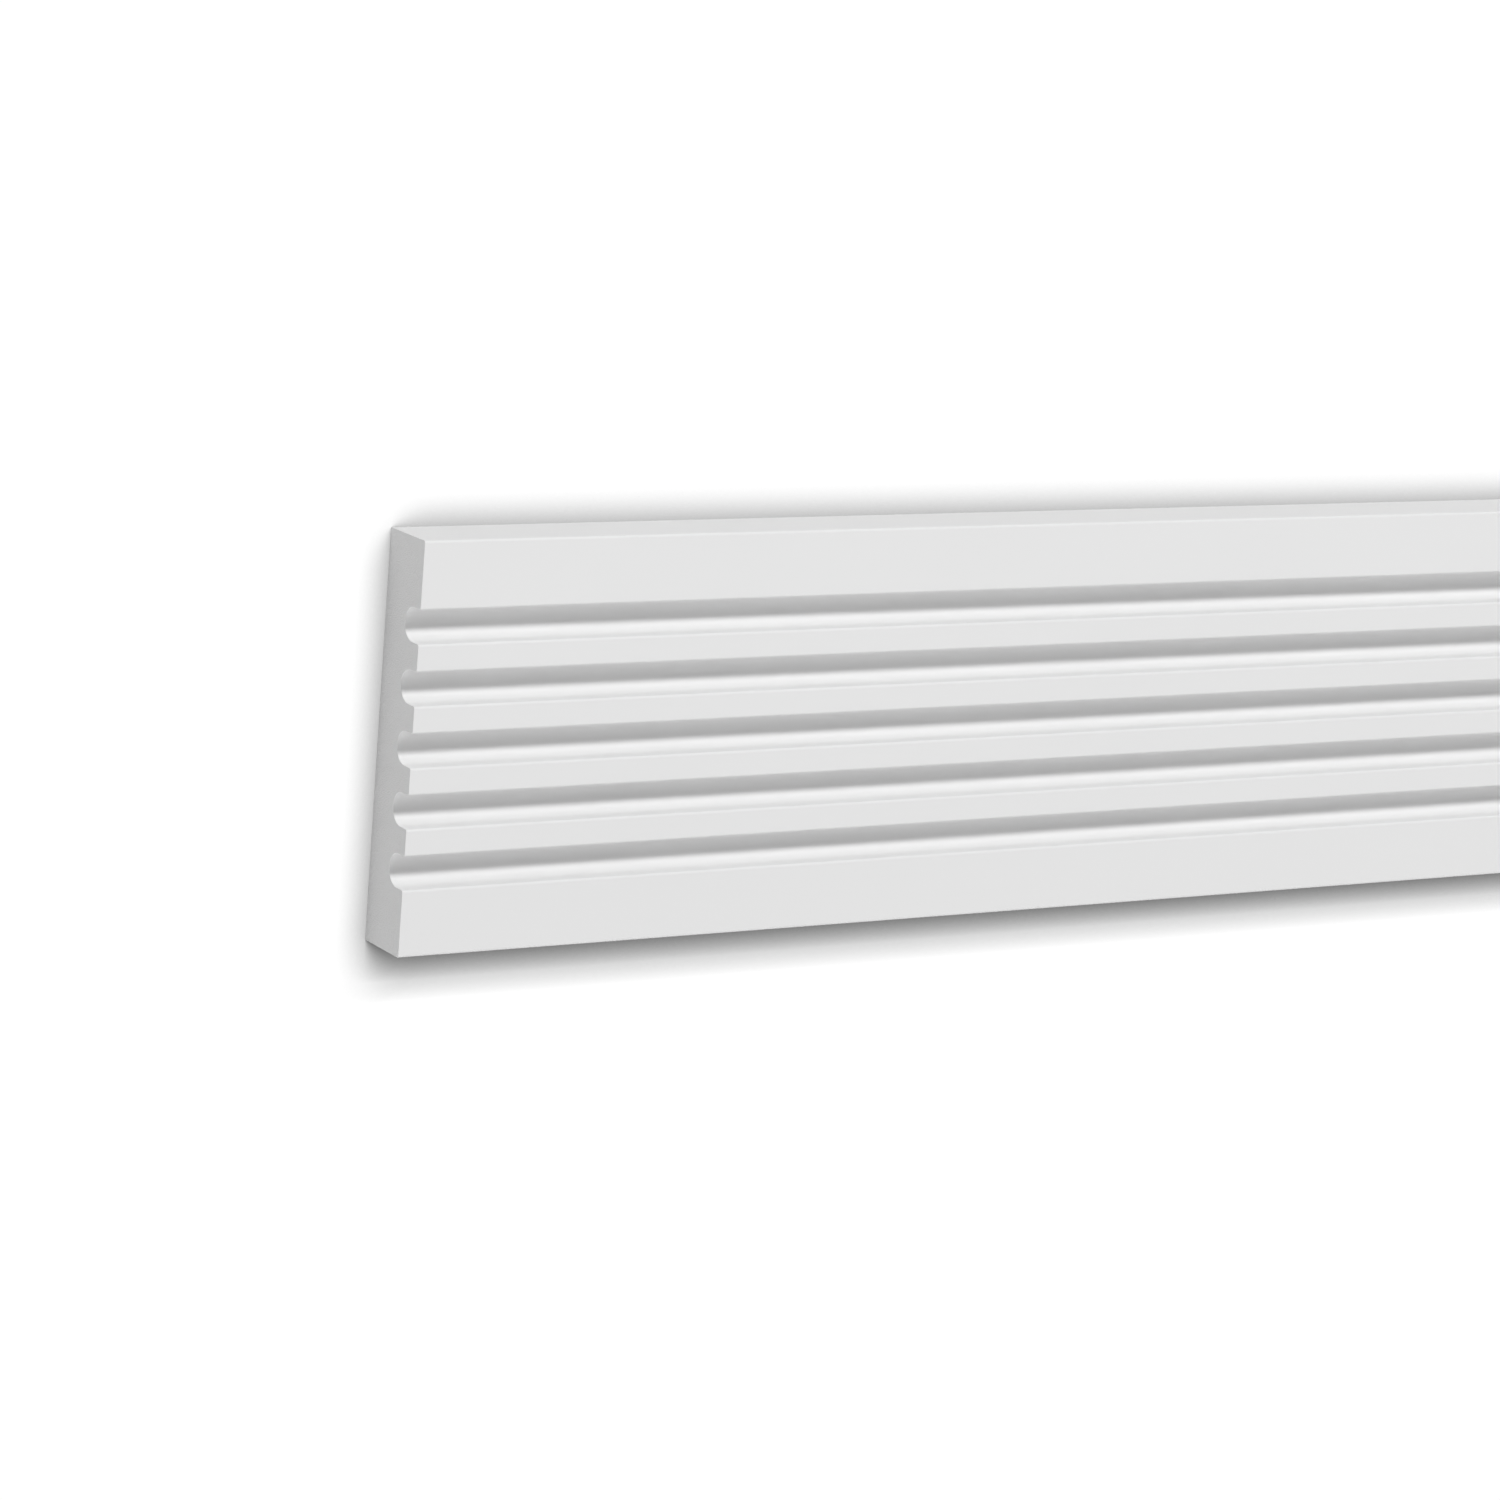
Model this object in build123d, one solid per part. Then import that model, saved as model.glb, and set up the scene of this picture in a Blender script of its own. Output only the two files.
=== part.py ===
from build123d import *
import os

# A flat fluted moulding strip, moulded in one piece of flexible polyurethane.
# It lies on its plain back with the fluted front face up. X runs along the strip, Y across it
# and Z through it, and the origin is in the middle of the back face. Sizes are in millimetres.

# Driving dimensions
LENGTH = 2000.0         # a whole strip as it is sold, cut square at both ends
THICKNESS = 21.0        # from the back face to the front face
BORDER_BAND = 20.0      # plain flat band along each long edge
FLUTE_COUNT = 5
FLUTE_WIDTH = 10.0      # a flute's mouth, and twice the radius of its round bottom
FLUTE_WALL = 4.0        # straight wall of a flute, from the front face to the round bottom
RIB_WIDTH = 8.0         # flat rib between two flutes
ARRIS_RADIUS = 0.8      # softened long edges of the front face

# Sizes that follow from them
FLUTE_PITCH = FLUTE_WIDTH + RIB_WIDTH
FLUTED_WIDTH = FLUTE_COUNT * FLUTE_PITCH - RIB_WIDTH
WIDTH = FLUTED_WIDTH + 2 * BORDER_BAND


def cut_flutes():
    """Cut the row of flutes into the section that is being sketched.

    Each cutter is a slot whose middle is on the front face, so that its lower half is the
    flute: two straight walls and a half-round bottom.
    """
    with Locations((0, THICKNESS)):
        with GridLocations(FLUTE_PITCH, 0, FLUTE_COUNT, 1):
            SlotCenterToCenter(2 * FLUTE_WALL, FLUTE_WIDTH, rotation=90, mode=Mode.SUBTRACT)


def moulding_section():
    """Draw the strip's section, the same from end to end, with its front edges softened."""
    with BuildSketch(Plane.YZ) as section:
        Rectangle(WIDTH, THICKNESS, align=(Align.CENTER, Align.MIN))
        cut_flutes()
        front_edges = section.vertices().group_by(Axis.Y)[-1]
        fillet(front_edges, radius=ARRIS_RADIUS)
    return section.sketch


def moulding():
    """Run the section along the strip, to the same length on both sides of its middle."""
    strip = extrude(moulding_section(), amount=LENGTH / 2, both=True)
    strip.label = "moulding"
    return strip


os.makedirs("parts", exist_ok=True)
export_step(moulding(), "parts/moulding.step")
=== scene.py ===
"""Looks of a flat fluted moulding strip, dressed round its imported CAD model.

Lengths are in metres and in the CAD model's own frame: X runs along the strip, Y across it
and Z out of its fluted front face. The strip lies on its plain back, so the edge that the
photograph shows uppermost is the one towards +Y.
"""

from __future__ import annotations

import logging
import math
from abc import ABC, abstractmethod
from dataclasses import dataclass, field
from enum import IntEnum
from typing import Any, ClassVar

import bmesh
import bpy
from mathutils import Euler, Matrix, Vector

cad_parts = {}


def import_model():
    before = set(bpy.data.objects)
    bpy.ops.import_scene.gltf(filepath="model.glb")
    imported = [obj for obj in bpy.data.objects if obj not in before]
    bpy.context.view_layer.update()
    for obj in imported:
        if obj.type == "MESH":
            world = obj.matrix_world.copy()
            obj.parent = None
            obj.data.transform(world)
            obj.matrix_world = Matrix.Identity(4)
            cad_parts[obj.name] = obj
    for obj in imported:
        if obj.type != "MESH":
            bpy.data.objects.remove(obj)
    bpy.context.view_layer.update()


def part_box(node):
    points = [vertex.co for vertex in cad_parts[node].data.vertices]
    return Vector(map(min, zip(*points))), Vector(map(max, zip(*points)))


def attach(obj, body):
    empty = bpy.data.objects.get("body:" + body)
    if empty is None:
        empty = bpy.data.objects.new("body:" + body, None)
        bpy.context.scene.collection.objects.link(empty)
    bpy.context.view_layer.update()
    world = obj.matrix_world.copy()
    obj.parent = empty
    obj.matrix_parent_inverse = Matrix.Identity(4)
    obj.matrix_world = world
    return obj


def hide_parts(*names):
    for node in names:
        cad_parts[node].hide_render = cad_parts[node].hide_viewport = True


LOG = logging.getLogger("moulding")
MM = 0.001
QUARTER_TURN = math.pi / 2
WHITE = "#FFFFFF"

# A Mix node's colour sockets share their names with its number sockets, so they go by index.
MIX_FIRST = 6
MIX_SECOND = 7
MIX_RESULT = 2


def linear(hex_colour: str) -> tuple[float, float, float, float]:
    """Turn an sRGB hex colour into the linear RGBA that a shader socket takes.

    Args:
        hex_colour: The colour as "#RRGGBB".

    Returns:
        Linear red, green and blue from 0 to 1, and an alpha of 1.
    """
    values = [int(hex_colour[start : start + 2], 16) / 255 for start in (1, 3, 5)]
    red, green, blue = (
        value / 12.92 if value <= 0.04045 else ((value + 0.055) / 1.055) ** 2.4 for value in values
    )
    return red, green, blue, 1.0


def empty_tree(owner: bpy.types.Material | bpy.types.World) -> bpy.types.NodeTree:
    """Give a material or world an empty node tree.

    Args:
        owner: The material or world.

    Returns:
        Its tree, with no nodes.
    """
    owner.use_nodes = True
    owner.node_tree.nodes.clear()
    return owner.node_tree


def add_node(
    tree: bpy.types.NodeTree, kind: str, inputs: dict[str | int, Any] | None = None, **settings: Any
) -> bpy.types.Node:
    """Add one node with its settings and links.

    Args:
        tree: The node tree of the material or world.
        kind: The node's type, such as "ShaderNodeTexNoise".
        inputs: An input's name or index, and the output that feeds it or its constant value.
        **settings: Properties of the node itself, such as operation.

    Returns:
        The new node.
    """
    node = tree.nodes.new(kind)
    for name, value in settings.items():
        setattr(node, name, value)
    for name, source in (inputs or {}).items():
        if isinstance(source, bpy.types.NodeSocket):
            tree.links.new(source, node.inputs[name])
        else:
            node.inputs[name].default_value = source
    return node


class Surface(IntEnum):
    """The strip's three surfaces, in the order of its material slots."""

    FRONT = 0
    CUT_END = 1
    BACK = 2


@dataclass(frozen=True)
class Finish(ABC):
    """What every finish of the strip has: two close tones, a matte shader and a fine relief.

    Attributes:
        name: The name of its material.
        tone: Its lighter tone.
        shaded_tone: Its darker tone.
        roughness: How rough it is on average, from 0 to 1.
        roughness_spread: How far the roughness strays either way.
        ior: Its index of refraction.
        cloud_size: How wide the patches of the two tones are.
        cloud_detail: How many finer layers the patches have.
        depth: How deep its relief is.
    """

    cloud_detail: ClassVar[float] = 3.0

    name: str
    tone: str
    shaded_tone: str
    roughness: float
    roughness_spread: float
    ior: float
    cloud_size: float
    depth: float

    def material(self) -> bpy.types.Material:
        """Make the finish as a node material.

        Returns:
            The new material.
        """
        made = bpy.data.materials.new(self.name)
        tree = empty_tree(made)
        place = add_node(tree, "ShaderNodeTexCoord").outputs["Object"]
        cloud = add_node(
            tree,
            "ShaderNodeTexNoise",
            {"Vector": place, "Scale": 1 / self.cloud_size, "Detail": self.cloud_detail},
        ).outputs["Fac"]
        colour = add_node(
            tree,
            "ShaderNodeMix",
            {
                "Factor": cloud,
                MIX_FIRST: linear(self.shaded_tone),
                MIX_SECOND: linear(self.tone),
            },
            data_type="RGBA",
        ).outputs[MIX_RESULT]
        roughness = add_node(
            tree,
            "ShaderNodeMapRange",
            {
                "Value": cloud,
                "To Min": self.roughness - self.roughness_spread,
                "To Max": self.roughness + self.roughness_spread,
            },
        ).outputs["Result"]
        relief = add_node(
            tree, "ShaderNodeBump", {"Height": self.pattern(tree, place), "Distance": self.depth}
        ).outputs["Normal"]
        shader = add_node(
            tree,
            "ShaderNodeBsdfPrincipled",
            {"Base Color": colour, "Roughness": roughness, "IOR": self.ior, "Normal": relief},
        )
        add_node(tree, "ShaderNodeOutputMaterial", {"Surface": shader.outputs["BSDF"]})
        return made

    @abstractmethod
    def pattern(
        self, tree: bpy.types.NodeTree, place: bpy.types.NodeSocket
    ) -> bpy.types.NodeSocket:
        """Draw the pattern of the surface's fine relief.

        Args:
            tree: The material's node tree.
            place: Where a point of the strip is.

        Returns:
            The height of the surface there, which the relief's depth is multiplied by.
        """


@dataclass(frozen=True)
class SprayedPrimer(Finish):
    """Acrylic primer sprayed over moulded polyurethane.

    The mould gives a closed, even skin and the spray a faint orange peel, so the eye sees a soft
    matte white with no grain and only a broad, weak sheen.
    """

    name: str = "sprayed_acrylic_primer"
    tone: str = "#EFEFEF"
    shaded_tone: str = "#EDEDED"
    roughness: float = 0.5
    roughness_spread: float = 0.03
    ior: float = 1.49
    cloud_size: float = 60 * MM
    # Orange peel of a fine spray is about 1.5 mm from hump to hump and a few microns high, so
    # the front still looks smooth.
    peel_size: float = 1.5 * MM
    peel_detail: float = 1.0
    depth: float = 0.004 * MM

    def pattern(
        self, tree: bpy.types.NodeTree, place: bpy.types.NodeSocket
    ) -> bpy.types.NodeSocket:
        """Draw the orange peel.

        Args:
            tree: The material's node tree.
            place: Where a point of the strip is.

        Returns:
            The height of the peel there.
        """
        return add_node(
            tree,
            "ShaderNodeTexNoise",
            {"Vector": place, "Scale": 1 / self.peel_size, "Detail": self.peel_detail},
        ).outputs["Fac"]


@dataclass(frozen=True)
class SawnFoam(Finish):
    """Moulded polyurethane foam, sawn square.

    The saw opens the foam's closed cells, so the eye sees a white like the primer's, fully
    matte, with a fine even grain. The tones are a little lighter than the primer's, which makes
    up for the shade in the cells.
    """

    name: str = "sawn_polyurethane_foam"
    tone: str = "#F1F1F1"
    shaded_tone: str = "#EEEEEE"
    roughness: float = 0.85
    roughness_spread: float = 0.03
    ior: float = 1.45
    cloud_size: float = 12 * MM
    # The cells are about 0.2 mm wide and open into bowls half as deep. They are drawn at twice
    # their width and no deeper, so that they show from close up and the cut stays even.
    cell_size: float = 0.4 * MM
    depth: float = 0.1 * MM

    def pattern(
        self, tree: bpy.types.NodeTree, place: bpy.types.NodeSocket
    ) -> bpy.types.NodeSocket:
        """Draw the opened cells.

        Args:
            tree: The material's node tree.
            place: Where a point of the strip is.

        Returns:
            The height of the cut there, which is least at the middle of each cell.
        """
        return add_node(
            tree, "ShaderNodeTexVoronoi", {"Vector": place, "Scale": 1 / self.cell_size}
        ).outputs["Distance"]


@dataclass(frozen=True)
class SandedBack(Finish):
    """The back of the moulding, sanded flat so that adhesive keys to it.

    The belt runs along the strip, so the eye sees fine lengthwise scratches.
    """

    name: str = "sanded_polyurethane"
    tone: str = "#EDEDEB"
    shaded_tone: str = "#E9E9E6"
    roughness: float = 0.8
    roughness_spread: float = 0.05
    ior: float = 1.45
    cloud_size: float = 40 * MM
    # 120 grit leaves scratches about 0.12 mm wide and 0.015 mm deep. Both are drawn four times
    # as large, so that the scratches show and their sides lean as much as the real ones.
    scratch_width: float = 0.48 * MM
    scratch_length: float = 30 * MM
    scratch_detail: float = 2.0
    depth: float = 0.06 * MM

    def pattern(
        self, tree: bpy.types.NodeTree, place: bpy.types.NodeSocket
    ) -> bpy.types.NodeSocket:
        """Draw the sanding scratches.

        Args:
            tree: The material's node tree.
            place: Where a point of the strip is.

        Returns:
            The height of the back there.
        """
        across = 1 / self.scratch_width
        stretched = add_node(
            tree,
            "ShaderNodeMapping",
            {"Vector": place, "Scale": (1 / self.scratch_length, across, across)},
        ).outputs["Vector"]
        return add_node(
            tree,
            "ShaderNodeTexNoise",
            {"Vector": stretched, "Scale": 1.0, "Detail": self.scratch_detail},
        ).outputs["Fac"]


@dataclass(frozen=True)
class SectionPoint:
    """A point of the strip's section. Its vectors hold Y and Z.

    Attributes:
        at: Its place.
        outward: The outward direction of the surface there.
    """

    at: Vector
    outward: Vector


@dataclass(frozen=True)
class Corner:
    """A square corner of the section, rounded with an arc.

    Attributes:
        y: Its place across the strip.
        z: Its height.
        radius: The radius of the arc that rounds it.
        steps: How many straight pieces the arc is drawn with.
    """

    y: float
    z: float
    radius: float
    steps: int

    def arc(self, before: Vector, after: Vector) -> list[SectionPoint]:
        """Round the corner.

        Args:
            before: The direction of travel into the corner.
            after: The direction of travel out of it.

        Returns:
            The arc's points in order, the first and last where it meets the two straights.
        """
        centre = Vector((self.y, self.z)) + self.radius * (after - before)
        points = []
        for step in range(self.steps + 1):
            angle = QUARTER_TURN * step / self.steps
            heading = before * math.cos(angle) + after * math.sin(angle)
            spoke = before * math.sin(angle) - after * math.cos(angle)
            # The section is drawn anticlockwise, so outward is to the right of the heading.
            outward = Vector((heading.y, -heading.x))
            points.append(SectionPoint(centre + self.radius * spoke, outward))
        return points


@dataclass(frozen=True)
class Station:
    """A place along the strip where its section is drawn.

    Attributes:
        x: The place.
        inset: How far the outline is drawn in there, at the rounded edge of a cut end.
        lean: The share of the outline's normals that points along X.
    """

    x: float
    inset: float
    lean: float


@dataclass
class FlutedStrip:
    """The moulding, as one closed mesh with fine flutes and softened edges.

    Its length, width and thickness are the CAD node's. The flutes are spread evenly about the
    middle of the width, and the two border bands take what they leave.

    Attributes:
        node: The CAD node that the strip stands for.
        slot: The name of the record's material slot for the strip.
        flute_count: How many flutes the front has.
        flute_width: How wide a flute is at its mouth. Its bottom is half round.
        flute_wall: How far its straight walls reach down from the front.
        rib_width: How wide the rib between two flutes is.
        arris_radius: The radius of the front's long edges and the flutes' lips.
        back_radius: The radius of the back's long edges.
        cut_radius: The radius of the edges round the cut ends.
        flute_steps: How many straight pieces each half of a flute's bottom has.
        arris_steps: How many an arris has.
        cut_steps: How many the radii of the back and the cut ends have.
        station_gap: About how far apart the sections along the strip are.
        tolerance: Lengths under this count as none.
        low: The lowest corner of the CAD node.
        high: Its highest corner.
    """

    node: ClassVar[str] = "moulding"
    slot: ClassVar[str] = "primed_polyurethane"

    flute_count: int = 5
    flute_width: float = 10.0 * MM
    flute_wall: float = 4.0 * MM
    rib_width: float = 8.0 * MM
    arris_radius: float = 0.8 * MM
    back_radius: float = 0.3 * MM
    cut_radius: float = 0.12 * MM
    flute_steps: int = 16
    arris_steps: int = 6
    cut_steps: int = 3
    station_gap: float = 50 * MM
    tolerance: float = 0.01 * MM
    low: Vector = field(init=False)
    high: Vector = field(init=False)

    def __post_init__(self) -> None:
        """Take the overall sizes from the CAD node."""
        self.low, self.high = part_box(self.node)

    def corners(self) -> list[Corner]:
        """List the corners of the section.

        Returns:
            The corners in order, along the back, up its far edge and back over the front.
        """
        back, front = self.low.z, self.high.z
        bottom = front - self.flute_wall - self.flute_width / 2
        arris = (self.arris_radius, self.arris_steps)
        root = (self.flute_width / 2, self.flute_steps)
        found = [
            Corner(self.low.y, back, self.back_radius, self.cut_steps),
            Corner(self.high.y, back, self.back_radius, self.cut_steps),
            Corner(self.high.y, front, *arris),
        ]
        centre = (self.low.y + self.high.y) / 2
        pitch = self.flute_width + self.rib_width
        for index in range(self.flute_count):
            middle = centre + pitch * ((self.flute_count - 1) / 2 - index)
            upper, lower = middle + self.flute_width / 2, middle - self.flute_width / 2
            found += [
                Corner(upper, front, *arris),
                Corner(upper, bottom, *root),
                Corner(lower, bottom, *root),
                Corner(lower, front, *arris),
            ]
        found.append(Corner(self.low.y, front, *arris))
        return found

    def section(self) -> list[SectionPoint]:
        """Draw the closed section.

        Returns:
            Its points, anticlockwise with Y to the right and Z up.
        """
        corners = self.corners()
        points: list[SectionPoint] = []
        for index, corner in enumerate(corners):
            last, following = corners[index - 1], corners[(index + 1) % len(corners)]
            before = Vector((corner.y - last.y, corner.z - last.z)).normalized()
            after = Vector((following.y - corner.y, following.z - corner.z)).normalized()
            arc = corner.arc(before, after)
            # The two arcs of a flute's bottom meet in one point.
            if points and (arc[0].at - points[-1].at).length < self.tolerance:
                arc = arc[1:]
            points += arc
        return points

    def stations(self) -> list[Station]:
        """List the places along the strip where its section is drawn.

        Returns:
            The stations in order, close together at the rounded edges of the cut ends.
        """
        left = []
        right = []
        for step in range(self.cut_steps + 1):
            angle = QUARTER_TURN * step / self.cut_steps
            reach = self.cut_radius * (1 - math.cos(angle))
            inset = self.cut_radius * (1 - math.sin(angle))
            left.append(Station(self.low.x + reach, inset, -math.cos(angle)))
            right.append(Station(self.high.x - reach, inset, math.cos(angle)))
        start, stop = left[-1].x, right[-1].x
        count = round((stop - start) / self.station_gap)
        between = [Station(start + (stop - start) * i / count, 0.0, 0.0) for i in range(1, count)]
        return left + between + right[::-1]

    def mesh(self) -> bpy.types.Mesh:
        """Run the section through the stations and close both ends.

        Returns:
            The new mesh, with each face on its surface's material slot.
        """
        section = self.section()
        shape = bmesh.new()
        rings = []
        normals = []
        for station in self.stations():
            ring = []
            for point in section:
                place = point.at - station.inset * point.outward
                ring.append(shape.verts.new((station.x, *place)))
                side = point.outward * math.sqrt(1 - station.lean**2)
                normals.append((station.lean, *side))
            rings.append(ring)
        for near, far in zip(rings, rings[1:]):
            for index, point in enumerate(section):
                following = (index + 1) % len(section)
                face = shape.faces.new(
                    (near[index], far[index], far[following], near[following])
                )
                top = max(point.at.y, section[following].at.y)
                on_back = top - self.low.z < self.tolerance
                face.material_index = Surface.BACK if on_back else Surface.FRONT
        ends = [shape.faces.new(rings[0]), shape.faces.new(reversed(rings[-1]))]
        for face in ends:
            face.material_index = Surface.CUT_END
        # An end is cut into triangles in its own plane, which its normal gives.
        shape.normal_update()
        bmesh.ops.triangulate(shape, faces=ends, ngon_method="BEAUTY")
        for face in shape.faces:
            face.smooth = True
        bmesh.ops.recalc_face_normals(shape, faces=shape.faces)
        mesh = bpy.data.meshes.new("fluted_strip")
        shape.to_mesh(mesh)
        shape.free()
        mesh.normals_split_custom_set_from_vertices(normals)
        return mesh

    def build(self) -> bpy.types.Object:
        """Make the strip, dress its three surfaces and put it in the CAD node's place.

        Returns:
            The strip's object.
        """
        piece = bpy.data.objects.new("fluted_strip", self.mesh())
        bpy.context.scene.collection.objects.link(piece)
        finishes = {
            Surface.FRONT: SprayedPrimer(),
            Surface.CUT_END: SawnFoam(),
            Surface.BACK: SandedBack(),
        }
        for surface in Surface:
            piece.data.materials.append(finishes[surface].material())
        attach(piece, "root")
        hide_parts(self.node)
        return piece


@dataclass(frozen=True)
class Lamp:
    """A soft lamp so far away that its light is parallel.

    Attributes:
        name: What the lamp is for.
        towards: The direction from the strip to the lamp.
        level: The light it gives a white surface that faces it, from 0 to 1.
        spread_deg: How wide it looks from the strip, which softens its shadows.
    """

    name: str
    towards: tuple[float, float, float]
    level: float
    spread_deg: float

    def build(self) -> None:
        """Hang the lamp."""
        lamp = bpy.data.lights.new(self.name, "SUN")
        lamp.energy = self.level * math.pi
        lamp.angle = math.radians(self.spread_deg)
        self.hang(lamp, Vector())

    def hang(self, lamp: bpy.types.Light, place: Vector) -> None:
        """Put a lamp in its place, facing the strip and hidden from the camera.

        Args:
            lamp: The lamp's data.
            place: Where it hangs, which makes no difference to parallel light.
        """
        holder = bpy.data.objects.new(self.name, lamp)
        holder.location = place
        holder.rotation_euler = Vector(self.towards).to_track_quat("Z", "Y").to_euler()
        holder.visible_camera = False
        bpy.context.scene.collection.objects.link(holder)


@dataclass(frozen=True)
class Softbox(Lamp):
    """A round soft lamp that hangs near enough for its light to fall off along the strip.

    Attributes:
        aim: The point that the lamp faces, where it gives its level.
        distance: How far it hangs from there.
    """

    aim: tuple[float, float, float]
    distance: float

    def build(self) -> None:
        """Hang the lamp."""
        lamp = bpy.data.lights.new(self.name, "AREA")
        lamp.shape = "DISK"
        lamp.size = 2 * self.distance * math.tan(math.radians(self.spread_deg / 2))
        # Straight ahead, a flat lamp gives its watts over pi times the distance squared, and
        # white that is fully lit takes pi.
        lamp.energy = self.level * (math.pi * self.distance) ** 2
        self.hang(lamp, Vector(self.aim) + self.distance * Vector(self.towards))


@dataclass(frozen=True)
class ContactShade:
    """The soft shade that the strip leaves on the floor, seen within a short reach of it.

    Attributes:
        towards: The direction from the strip to the light that it shades.
        reach: How far away the strip still shades a point.
        power: How deep the shade is.
        samples: How many rays a point's share is found with. From too few the shade comes out
            too light, because the power is taken of coarse shares.
    """

    towards: tuple[float, float, float]
    reach: float
    power: float
    samples: int = 16

    def openness(self, tree: bpy.types.NodeTree) -> bpy.types.NodeSocket:
        """Draw how open each point of the floor is.

        Args:
            tree: The floor's node tree.

        Returns:
            The openness, from 0 to 1.
        """
        # The occlusion node takes a direction only from a link, and ignores a constant one.
        leaning = add_node(tree, "ShaderNodeCombineXYZ", dict(enumerate(self.towards)))
        share = add_node(
            tree,
            "ShaderNodeAmbientOcclusion",
            {"Distance": self.reach, "Normal": leaning.outputs["Vector"]},
            samples=self.samples,
        ).outputs["AO"]
        return add_node(
            tree, "ShaderNodeMath", {0: share, 1: self.power}, operation="POWER"
        ).outputs["Value"]


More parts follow.
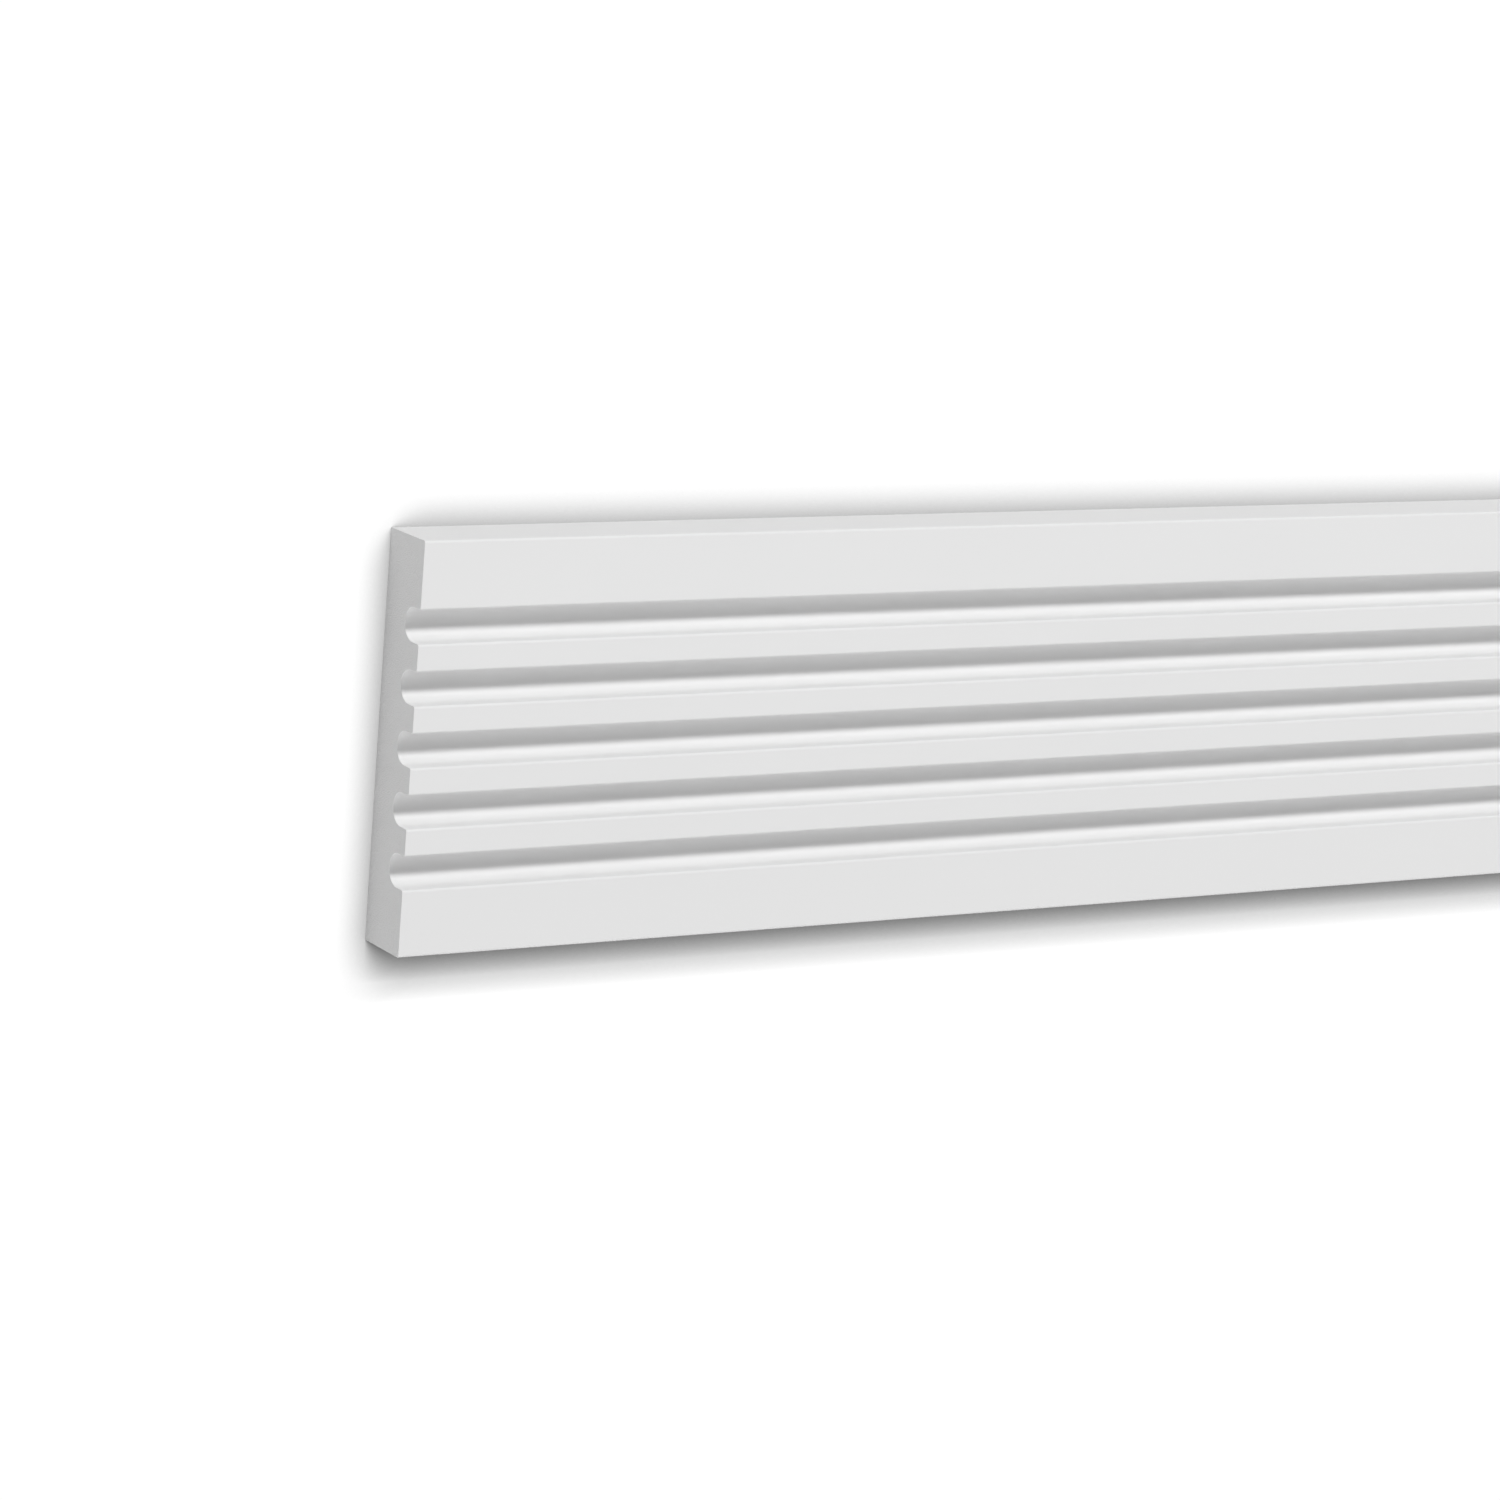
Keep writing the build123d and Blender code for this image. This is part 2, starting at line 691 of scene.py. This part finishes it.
@dataclass
class Studio:
    """A white floor, a weak even sky and three soft lamps.

    The key hangs beyond the strip's upper edge and a little to the right of the end that the
    photograph shows. One broad fill comes from between that end and the lower edge, and another
    from the lower edge, low over the floor. The floor shows as plain white but for the strip's
    soft shade.

    Attributes:
        lamps: The lamps.
        shades: The shades that the strip leaves on the floor.
        sky_level: The light that the sky gives a white surface, from 0 to 1.
        floor_size: How long and how wide the floor is.
        floor_drop: How far the floor lies under the strip's back, so that they never coincide.
        floor_paper: The floor's colour to the lamps and the strip.
        floor_white: How bright the floor looks to the camera, where 1 is white. The little more
            keeps the faint rim of the shade white.
    """

    lamps: tuple[Lamp, ...] = (
        Softbox(
            "key",
            towards=(0.150, 0.687, 0.711),
            level=0.62,
            spread_deg=11.0,
            aim=(-0.85, 0.0, 0.02),
            distance=5.0,
        ),
        Lamp("fill", towards=(-0.453, -0.573, 0.683), level=0.222, spread_deg=50.0),
        Lamp("low_fill", towards=(0.0, -0.996, 0.087), level=0.39, spread_deg=50.0),
    )
    shades: tuple[ContactShade, ...] = (
        ContactShade(towards=(-0.70, 0.71, 0.03), reach=19.9 * MM, power=1.79),
        ContactShade(towards=(-0.49, 0.50, 0.72), reach=13.4 * MM, power=1.79),
    )
    sky_level: float = 0.278
    floor_size: float = 60.0
    floor_drop: float = 0.05 * MM
    floor_paper: str = "#DADADA"
    floor_white: float = 1.03

    def sky(self) -> None:
        """Light the scene evenly from all round, and show plain white behind it."""
        world = bpy.data.worlds.new("white_sky")
        bpy.context.scene.world = world
        tree = empty_tree(world)
        rays = add_node(tree, "ShaderNodeLightPath")
        strength = add_node(
            tree,
            "ShaderNodeMapRange",
            {"Value": rays.outputs["Is Camera Ray"], "To Min": self.sky_level, "To Max": 1.0},
        ).outputs["Result"]
        sky = add_node(
            tree, "ShaderNodeBackground", {"Color": linear(WHITE), "Strength": strength}
        )
        add_node(tree, "ShaderNodeOutputWorld", {"Surface": sky.outputs["Background"]})

    def floor_material(self, name: str, shades: tuple[ContactShade, ...]) -> bpy.types.Material:
        """Make the floor white to the camera but for the strip's shade, and pale to the lamps.

        Args:
            name: The material's name.
            shades: The shades that show on it, or none where the strip is out of reach.

        Returns:
            The new material.
        """
        made = bpy.data.materials.new(name)
        tree = empty_tree(made)
        level: bpy.types.NodeSocket | float = self.floor_white
        for shade in shades:
            level = add_node(
                tree, "ShaderNodeMath", {0: level, 1: shade.openness(tree)}, operation="MULTIPLY"
            ).outputs["Value"]
        rays = add_node(tree, "ShaderNodeLightPath")
        paper = add_node(tree, "ShaderNodeBsdfDiffuse", {"Color": linear(self.floor_paper)})
        glow = add_node(tree, "ShaderNodeEmission", {"Color": linear(WHITE), "Strength": level})
        seen = add_node(
            tree,
            "ShaderNodeMixShader",
            {
                0: rays.outputs["Is Camera Ray"],
                1: paper.outputs["BSDF"],
                2: glow.outputs["Emission"],
            },
        )
        add_node(tree, "ShaderNodeOutputMaterial", {"Surface": seen.outputs["Shader"]})
        return made

    def floor(self) -> None:
        """Lay the floor, with a face of its own where the strip's shade reaches.

        The shade is slow to draw, so the eight faces round that one go without it.
        """
        low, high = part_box(FlutedStrip.node)
        reach = max(shade.reach for shade in self.shades)
        edge = self.floor_size / 2
        lines_x = (-edge, low.x - reach, high.x + reach, edge)
        lines_y = (-edge, low.y - reach, high.y + reach, edge)
        corners = [(x, y, low.z - self.floor_drop) for y in lines_y for x in lines_x]
        row = len(lines_x)
        starts = [row * j + i for j in range(len(lines_y) - 1) for i in range(row - 1)]
        mesh = bpy.data.meshes.new("floor")
        mesh.from_pydata(corners, [], [(at, at + 1, at + row + 1, at + row) for at in starts])
        mesh.materials.append(self.floor_material("plain_floor", ()))
        mesh.materials.append(self.floor_material("shaded_floor", self.shades))
        for face in mesh.polygons:
            under = low.x < face.center.x < high.x and low.y < face.center.y < high.y
            face.material_index = int(under)
        sheet = bpy.data.objects.new("floor", mesh)
        bpy.context.scene.collection.objects.link(sheet)

    def build(self) -> None:
        """Put up the sky, the lamps and the floor."""
        self.sky()
        for lamp in self.lamps:
            lamp.build()
        self.floor()


@dataclass(frozen=True)
class PhotoCamera:
    """The photograph's camera, which looks down on the strip from its left end.

    Its place, turn and lens were fitted together to the strip's edges in the photograph.

    Attributes:
        location: Where it stands.
        rotation_deg: How far it is turned about X, then Y, then Z.
        lens_mm: The focal length of its lens.
        sensor_mm: How wide its sensor is.
        nearest: The least distance that it draws.
        farthest: The greatest distance that it draws.
    """

    location: tuple[float, float, float] = (-1.6473, 0.30687, 1.22632)
    rotation_deg: tuple[float, float, float] = (-15.0914, -31.175, 5.23)
    lens_mm: float = 117.936
    sensor_mm: float = 36.0
    nearest: float = 0.01
    farthest: float = 200.0

    def build(self) -> None:
        """Place the camera and make it the scene's own."""
        lens = bpy.data.cameras.new("photo_camera")
        lens.lens = self.lens_mm
        lens.sensor_width = self.sensor_mm
        lens.clip_start = self.nearest
        lens.clip_end = self.farthest
        camera = bpy.data.objects.new("photo_camera", lens)
        camera.location = self.location
        camera.rotation_euler = Euler([math.radians(a) for a in self.rotation_deg], "XYZ")
        bpy.context.scene.collection.objects.link(camera)
        bpy.context.scene.camera = camera


def main() -> None:
    """Load the frame, build the strip, the studio and the camera."""
    logging.basicConfig(level=logging.INFO, format="%(name)s: %(message)s")
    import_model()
    strip = FlutedStrip().build()
    LOG.info("%s: %d faces, for node %s", strip.name, len(strip.data.polygons), FlutedStrip.node)
    studio = Studio()
    studio.build()
    LOG.info("studio: a sky, %d lamps and a floor", len(studio.lamps))
    camera = PhotoCamera()
    camera.build()
    LOG.info("camera: a lens of %.0f mm", camera.lens_mm)
    bpy.context.scene.view_settings.view_transform = "Standard"


if __name__ == "__main__":
    main()
